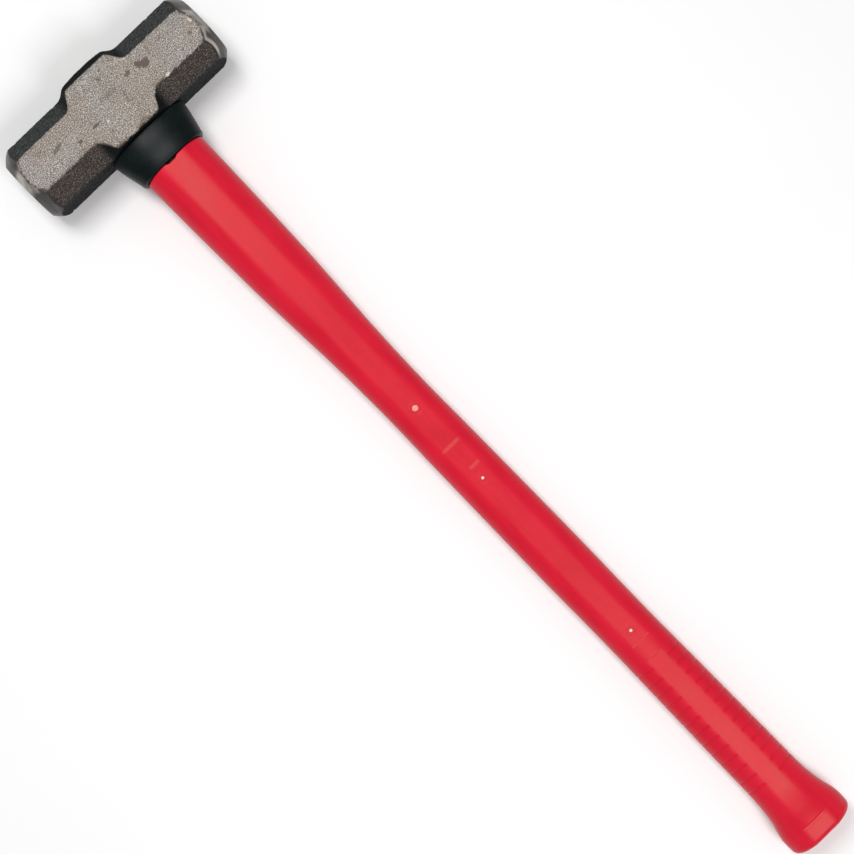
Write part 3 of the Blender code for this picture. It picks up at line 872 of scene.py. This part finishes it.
class Shader:
    """A material's nodes, made a call at a time and joined to its Principled BSDF."""

    def __init__(self, name, **constants):
        self.material = bpy.data.materials.new(name)
        self.material.use_nodes = True
        self.nodes = self.material.node_tree.nodes
        self.links = self.material.node_tree.links
        self.surface = self.nodes["Principled BSDF"]
        for socket, value in constants.items():
            self.surface.inputs[socket.replace("_", " ")].default_value = value
        self.place = self.nodes.new("ShaderNodeTexCoord").outputs["Object"]

    def put(self, socket, value):
        """Joins a node's output to an input, or sets the input to a plain value."""
        if isinstance(value, bpy.types.NodeSocket):
            self.links.new(value, socket)
        else:
            socket.default_value = value

    def stretched(self, scale):
        node = self.nodes.new("ShaderNodeMapping")
        node.inputs["Scale"].default_value = scale
        self.put(node.inputs["Vector"], self.place)
        return node.outputs["Vector"]

    def noise(self, feature, detail=3.0, roughness=0.6, stretch=None):
        """Noise with features of the given size in metres, stretched along an axis by a scale below 1."""
        node = self.nodes.new("ShaderNodeTexNoise")
        node.inputs["Scale"].default_value = 1 / feature
        node.inputs["Detail"].default_value = detail
        node.inputs["Roughness"].default_value = roughness
        self.put(node.inputs["Vector"], self.stretched(stretch) if stretch else self.place)
        return node.outputs["Fac"]

    def cells(self, feature):
        node = self.nodes.new("ShaderNodeTexVoronoi")
        node.inputs["Scale"].default_value = 1 / feature
        self.put(node.inputs["Vector"], self.place)
        return node.outputs["Distance"]

    def painted(self, name):
        node = self.nodes.new("ShaderNodeAttribute")
        node.attribute_name = name
        return node.outputs["Fac"]

    def ramp(self, value, stops):
        """A colour ramp; each stop is (position, grey value or colour)."""
        node = self.nodes.new("ShaderNodeValToRGB")
        elements = node.color_ramp.elements
        while len(elements) < len(stops):
            elements.new(0.5)
        for element, (position, color) in zip(elements, stops):
            element.position = position
            element.color = (*color, 1) if isinstance(color, tuple) else (color, color, color, 1)
        self.put(node.inputs["Fac"], value)
        return node.outputs["Color"]

    def mix(self, amount, first, second, blend="MIX"):
        node = self.nodes.new("ShaderNodeMix")
        node.data_type = "RGBA"
        node.blend_type = blend
        self.put(node.inputs[0], amount)
        self.put(node.inputs[6], (*first, 1) if isinstance(first, tuple) else first)
        self.put(node.inputs[7], (*second, 1) if isinstance(second, tuple) else second)
        return node.outputs[2]

    def math(self, operation, first, second):
        node = self.nodes.new("ShaderNodeMath")
        node.operation = operation
        self.put(node.inputs[0], first)
        self.put(node.inputs[1], second)
        return node.outputs[0]

    def bump(self, height, distance, strength, below=None):
        node = self.nodes.new("ShaderNodeBump")
        node.inputs["Distance"].default_value = distance
        node.inputs["Strength"].default_value = strength
        self.put(node.inputs["Height"], height)
        if below is not None:
            self.put(node.inputs["Normal"], below)
        return node.outputs["Normal"]

    def finish(self, color, roughness=None, normal=None, metallic=None, gloss=None):
        values = {
            "Base Color": color,
            "Roughness": roughness,
            "Normal": normal,
            "Metallic": metallic,
            "Specular IOR Level": gloss,
        }
        for socket, value in values.items():
            if value is not None:
                self.put(self.surface.inputs[socket], value)
        return self.material


def forged_steel():
    """Blasted grey on front and back, dark scale on the other facets, and ground faces and bevels; with
    painted shade beside the eye and on the bottom facet, and a painted highlight across the bevels.
    """
    s = Shader("forged_steel")
    speck = s.noise(0.0009, detail=2.0, roughness=0.7)
    grit = s.noise(0.0018, detail=2.0, roughness=0.7)
    cloud = s.noise(0.016, detail=3.0)
    tint = s.noise(0.040, detail=1.0)
    stains = s.noise(0.0065, detail=4.0, roughness=0.65)
    pits = s.noise(0.0026, detail=3.0, roughness=0.65)
    blasted = s.ramp(
        speck,
        [
            (0.32, (0.070, 0.058, 0.050)),
            (0.45, (0.235, 0.208, 0.187)),
            (0.56, (0.350, 0.322, 0.296)),
            (0.68, (0.860, 0.845, 0.820)),
        ],
    )
    blasted = s.mix(s.ramp(grit, [(0.56, 0.0), (0.72, 0.55)]), blasted, (0.56, 0.54, 0.52))
    blasted = s.mix(s.ramp(cloud, [(0.35, 0.0), (0.65, 1.0)]), blasted, (0.86, 0.85, 0.85), "MULTIPLY")
    blasted = s.mix(s.ramp(tint, [(0.40, 0.0), (0.60, 0.7)]), blasted, (1.0, 0.93, 0.84), "MULTIPLY")
    blasted = s.mix(s.ramp(pits, [(0.30, 0.75), (0.40, 0.0)]), blasted, (0.085, 0.064, 0.052))
    blasted = s.mix(s.ramp(stains, [(0.62, 0.0), (0.76, 0.55)]), blasted, (0.140, 0.105, 0.082))
    blasted = s.mix(s.painted("stain"), blasted, (0.118, 0.094, 0.078))
    scale = s.ramp(
        speck,
        [
            (0.34, (0.004, 0.004, 0.004)),
            (0.48, (0.024, 0.024, 0.024)),
            (0.60, (0.056, 0.055, 0.054)),
            (0.70, (0.200, 0.195, 0.190)),
        ],
    )
    cool = s.mix(1.0, scale, (0.62, 0.74, 0.72), "MULTIPLY")
    warm = s.mix(1.0, scale, (1.43, 1.20, 1.07), "MULTIPLY")
    scale = s.mix(s.painted("brown"), cool, warm)
    # Painted shade: near black where shade is marked beside the eye and on the bottom facet.
    scale = s.mix(s.painted("painted_shade"), scale, (0.006, 0.008, 0.008))
    steel = s.mix(s.painted("blasted"), scale, blasted)
    rust = s.math("MULTIPLY", s.painted("edge"), s.ramp(stains, [(0.36, 0.0), (0.50, 0.95)]))
    steel = s.mix(rust, steel, (0.044, 0.028, 0.020))
    streaks = s.noise(0.006, detail=4.0, stretch=(1.0, 0.25, 0.25))
    # Painted highlight on the bevels: bright where it is marked, dull elsewhere, both streaked by grinding.
    dull = s.ramp(streaks, [(0.35, (0.045, 0.042, 0.041)), (0.65, (0.105, 0.098, 0.094))])
    bright = s.ramp(streaks, [(0.35, (0.190, 0.174, 0.160)), (0.60, (0.500, 0.460, 0.415))])
    ground = s.mix(s.painted("painted_bevel_highlight"), dull, bright)
    steel = s.mix(s.painted("ground"), steel, ground)
    broken = s.math("MULTIPLY", s.painted("rim"), s.ramp(pits, [(0.46, 0.9), (0.60, 0.15)]))
    steel = s.mix(broken, steel, (0.020, 0.018, 0.017))
    steel = s.mix(s.painted("bare"), steel, (0.72, 0.66, 0.56))
    roughness = s.mix(s.painted("ground"), s.ramp(speck, [(0.35, 0.75), (0.68, 0.50)]), (0.40, 0.40, 0.40))
    metallic = s.math("MULTIPLY", s.painted("ground"), 0.6)
    normal = s.bump(s.mix(s.painted("ground"), speck, (0.5, 0.5, 0.5)), 0.0005, 1.0)
    # Less specular where shade is painted, so that it stays dark.
    gloss = s.mix(s.painted("painted_shade"), (0.22, 0.22, 0.22), (0.04, 0.04, 0.04))
    return s.finish(steel, roughness, normal, metallic, gloss)


def fibreglass():
    """Cream glass fibre in resin, with fine fibres along the rod and their cut ends as specks."""
    s = Shader("fibreglass")
    fibres = s.noise(0.0007, detail=3.0, stretch=(1.0, 0.03, 1.0))
    cloud = s.noise(0.012)
    color = s.ramp(
        fibres, [(0.30, (0.52, 0.38, 0.26)), (0.50, (0.80, 0.66, 0.54)), (0.70, (0.92, 0.84, 0.76))]
    )
    color = s.mix(s.ramp(cloud, [(0.40, 0.0), (0.70, 0.5)]), color, (0.64, 0.47, 0.33))
    film = s.math("MULTIPLY", s.painted("film"), s.ramp(fibres, [(0.35, 0.9), (0.65, 0.5)]))
    color = s.mix(film, color, (0.80, 0.150, 0.160))
    return s.finish(color, s.ramp(fibres, [(0.3, 0.62), (0.7, 0.40)]), s.bump(fibres, 0.0002, 0.6))


def epoxy():
    """Cast dark resin, glossy, with small bubbles and dust."""
    s = Shader("epoxy")
    bubbles = s.cells(0.0016)
    cloud = s.noise(0.006)
    color = s.ramp(cloud, [(0.35, (0.030, 0.024, 0.018)), (0.65, (0.085, 0.068, 0.045))])
    color = s.mix(s.ramp(bubbles, [(0.10, 0.6), (0.20, 0.0)]), color, (0.20, 0.17, 0.12))
    return s.finish(color, s.ramp(cloud, [(0.3, 0.18), (0.7, 0.38)]), s.bump(bubbles, 0.0002, 0.25))


def black_rubber():
    """Moulded rubber: near black, softly shining, with faint bloom and handling marks."""
    s = Shader("black_rubber", Specular_IOR_Level=0.15)
    grain = s.noise(0.0006, detail=2.0)
    bloom = s.noise(0.012, detail=4.0, roughness=0.65)
    color = s.ramp(
        bloom,
        [
            (0.36, (0.0008, 0.0032, 0.0034)),
            (0.62, (0.0020, 0.0054, 0.0058)),
            (0.76, (0.0060, 0.0096, 0.0100)),
        ],
    )
    specks = s.ramp(s.noise(0.0012, detail=1.0), [(0.70, 0.0), (0.78, 0.4)])
    color = s.mix(specks, color, (0.040, 0.042, 0.042))
    roughness = s.ramp(bloom, [(0.3, 0.32), (0.7, 0.44)])
    return s.finish(color, roughness, s.bump(grain, 0.00012, 0.5))


def red_plastic():
    """Satin red moulding with fine grain, faint flow streaks along it, light scuffs, and a painted highlight
    along the witness lines and pin rings.
    """
    s = Shader("red_plastic", Specular_IOR_Level=0.20, Specular_Tint=(1.0, 0.93, 0.70, 1.0))
    flow = s.noise(0.010, detail=4.0, stretch=(1.0, 0.18, 1.0))
    cloud = s.noise(0.045, detail=3.0)
    grain = s.noise(0.0009, detail=3.0, roughness=0.65)
    color = s.ramp(
        flow,
        [
            (0.34, (0.560, 0.0064, 0.0255)),
            (0.52, (0.610, 0.0080, 0.0300)),
            (0.70, (0.645, 0.0100, 0.0330)),
        ],
    )
    color = s.mix(s.ramp(cloud, [(0.40, 0.0), (0.65, 0.35)]), color, (0.580, 0.0075, 0.0310))
    color = s.mix(s.ramp(grain, [(0.30, 0.30), (0.42, 0.0)]), color, (0.42, 0.006, 0.020))
    scuffs = s.noise(0.0022, detail=4.0, roughness=0.7, stretch=(1.0, 0.10, 1.0))
    scuffed = s.ramp(scuffs, [(0.66, 0.0), (0.76, 0.30)])
    color = s.mix(scuffed, color, (0.72, 0.050, 0.060))
    # Painted highlight along the raised witness lines and pin rings.
    color = s.mix(s.math("MULTIPLY", s.painted("pale"), 0.45), color, (0.80, 0.110, 0.100))
    roughness = s.mix(scuffed, s.ramp(flow, [(0.3, 0.33), (0.7, 0.42)]), (0.60, 0.60, 0.60))
    normal = s.bump(cloud, 0.0012, 0.25, below=s.bump(grain, 0.00010, 0.55))
    return s.finish(color, roughness, normal)


# ---------------------------------------------------------------- studio


def make_floor():
    """A pale floor that the hammer rests on: it leans a little, to meet the knob's lower side."""
    knob_low = AXIS_Z - smooth_between(JACKET_SECTIONS, JACKET_LENGTH - KNOB_EDGE_RADIUS)[1] / 2
    knob_y = JACKET_LOW.y + KNOB_EDGE_RADIUS
    lean = math.atan2(knob_low - HEAD_LOW.z, HEAD_LOW.y - knob_y)
    bpy.ops.mesh.primitive_circle_add(vertices=128, radius=12.0, fill_type="NGON")
    floor = bpy.context.object
    floor.name = "floor"
    floor.rotation_euler.x = -lean
    floor.location = (0.0, HEAD_LOW.y, HEAD_LOW.z - 0.0002)
    s = Shader("pale_floor", Roughness=0.9)
    tone = s.noise(0.5, detail=2.0)
    floor.data.materials.append(s.finish(s.ramp(tone, [(0.3, 0.88), (0.7, 0.90)])))


def make_world():
    world = bpy.data.worlds.new("studio")
    world.use_nodes = True
    background = world.node_tree.nodes["Background"]
    background.inputs["Color"].default_value = (1.0, 1.0, 1.0, 1.0)
    background.inputs["Strength"].default_value = WORLD_STRENGTH
    bpy.context.scene.world = world


def make_softbox(name, place, power):
    """A soft rectangular light at a place, aimed at the middle of the handle."""
    lamp = bpy.data.lights.new(name, "AREA")
    lamp.shape = "RECTANGLE"
    lamp.size, lamp.size_y = SOFTBOX_SIZE
    lamp.energy = power
    obj = bpy.data.objects.new(name, lamp)
    obj.location = place
    aim = Vector((AXIS_X, 0.0, AXIS_Z)) - obj.location
    obj.rotation_euler = aim.to_track_quat("-Z", "Y").to_euler()
    bpy.context.scene.collection.objects.link(obj)


def make_studio():
    make_floor()
    make_world()
    make_softbox("softbox_head", Vector((-0.05, 0.82, 1.75)), 18.0)
    make_softbox("softbox_knob", Vector((0.00, -0.95, 1.75)), 17.0)
    bpy.context.scene.view_settings.view_transform = "Standard"


def make_camera():
    data = bpy.data.cameras.new("camera")
    data.sensor_width = CAMERA_SENSOR
    data.lens = CAMERA_LENS
    camera = bpy.data.objects.new("camera", data)
    back = (CAMERA_PLACE - CAMERA_TARGET).normalized()
    hint = Vector((math.cos(CAMERA_UP_ANGLE), math.sin(CAMERA_UP_ANGLE), 0.0))
    right = hint.cross(back).normalized()
    up = back.cross(right)
    camera.matrix_world = Matrix.Translation(CAMERA_PLACE) @ Matrix((right, up, back)).transposed().to_4x4()
    bpy.context.scene.collection.objects.link(camera)
    bpy.context.scene.camera = camera


# ---------------------------------------------------------------- the whole


def main():
    make_camera()
    make_studio()
    finish_piece(make_head(), "head", forged_steel())
    finish_piece(make_core(), "handle_core", fibreglass())
    finish_piece(make_resin(), "eye_resin", epoxy())
    finish_piece(make_collar(), "collar", black_rubber())
    finish_piece(make_jacket(), "handle_jacket", red_plastic())


main()
